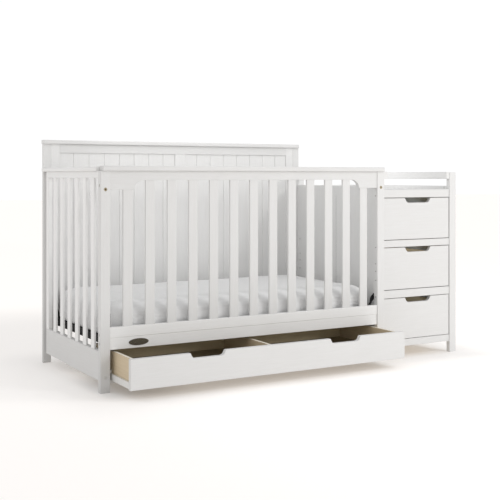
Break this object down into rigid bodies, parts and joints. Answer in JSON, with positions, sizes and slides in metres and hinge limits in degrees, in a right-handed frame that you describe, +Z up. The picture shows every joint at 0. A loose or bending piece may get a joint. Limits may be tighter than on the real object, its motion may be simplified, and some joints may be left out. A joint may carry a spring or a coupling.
{
  "type": "crib with attached changer",
  "caption": "White crib with slatted sides, beadboard headboard, under-crib drawer and an attached changing table with drawers.",
  "frame": {"origin": "on the floor, under the middle of the box that the whole piece fills with its crib drawer standing open 200 mm", "axes": "+X along the length from the crib to the changer, +Y from the front to the headboard, +Z up"},
  "size_m": [1.846, 0.951, 1.022],
  "materials": {
    "white_paint": "satin paint over wood and board",
    "bare_wood": "clear-coated plywood",
    "dark_hardboard": "smooth brown hardboard",
    "black_steel": "black powder coat",
    "zinc": "zinc plated",
    "bronze_plate": "dark bronze lacquer",
    "epoxy_white": "white epoxy coat",
    "white_plastic": "smooth white plastic",
    "white_sheet": "fitted cotton sheet"
  },
  "bodies": {
    "crib_frame": {"headboard_cap": "white_paint", "headboard_top_rail": "white_paint", "headboard_bottom_rail": "white_paint", "headboard_left_post": "white_paint", "headboard_right_post": "white_paint", "headboard_outer_stiles": "white_paint", "headboard_centre_stile": "white_paint", "headboard_left_panel": "white_paint", "headboard_right_panel": "white_paint", "front_left_post": "white_paint", "shared_front_post": "white_paint", "front_cap_rail": "white_paint", "front_top_rail": "white_paint", "front_slats": "white_paint", "front_bottom_rail": "white_paint", "oval_plate": "bronze_plate", "left_end_cap": "white_paint", "left_end_top_rail": "white_paint", "left_end_bottom_rail": "white_paint", "left_end_back_stile": "white_paint", "left_end_corner_post": "white_paint", "left_end_slats": "white_paint", "mattress_support_frame": "black_steel", "mattress_support_springs": "black_steel", "mattress_support_hangers": "black_steel", "changer_left_panel": "white_paint", "changer_right_panel": "white_paint", "changer_back_panel": "white_paint", "changer_top_board": "white_paint", "changer_front_top_rail": "white_paint", "changer_upper_mid_rail": "white_paint", "changer_lower_mid_rail": "white_paint", "changer_bottom_rail": "white_paint", "changer_front_right_post": "white_paint", "changer_back_right_post": "white_paint", "changer_back_left_post": "white_paint", "changer_side_guards": "white_paint", "changer_back_guard": "white_paint", "frame_bolts": "zinc", "barrel_nuts": "zinc", "cam_locks": "zinc", "post_inserts": "zinc", "changer_cabinet_slides": "epoxy_white", "crib_drawer_guides": "white_plastic"},
    "crib_drawer": {"crib_drawer_front": "white_paint", "crib_drawer_sides": "bare_wood", "crib_drawer_back": "bare_wood", "crib_drawer_divider": "bare_wood", "crib_drawer_bottom": "dark_hardboard", "crib_drawer_runners": "white_plastic"},
    "upper_drawer": {"upper_drawer_front": "white_paint", "upper_drawer_box": "bare_wood", "drawer_slide_members_upper": "epoxy_white"},
    "middle_drawer": {"middle_drawer_front": "white_paint", "middle_drawer_box": "bare_wood", "drawer_slide_members_middle": "epoxy_white"},
    "lower_drawer": {"lower_drawer_front": "white_paint", "lower_drawer_box": "bare_wood", "drawer_slide_members_lower": "epoxy_white"},
    "crib_mattress": {"mattress": "white_sheet"}
  },
  "joints": [
    {"name": "crib_drawer_slide", "type": "slide", "parent": "crib_frame", "child": "crib_drawer", "axis": [0, -1, 0], "range_m": [-0.2, 0.15]},
    {"name": "upper_drawer_slide", "type": "slide", "parent": "crib_frame", "child": "upper_drawer", "axis": [0, -1, 0], "range_m": [0, 0.33]},
    {"name": "middle_drawer_slide", "type": "slide", "parent": "crib_frame", "child": "middle_drawer", "axis": [0, -1, 0], "range_m": [0, 0.33]},
    {"name": "lower_drawer_slide", "type": "slide", "parent": "crib_frame", "child": "lower_drawer", "axis": [0, -1, 0], "range_m": [0, 0.33]},
    {"name": "mattress_lift", "type": "slide", "parent": "crib_frame", "child": "crib_mattress", "axis": [0, 0, 1], "range_m": [0, 0.72]}
  ]
}
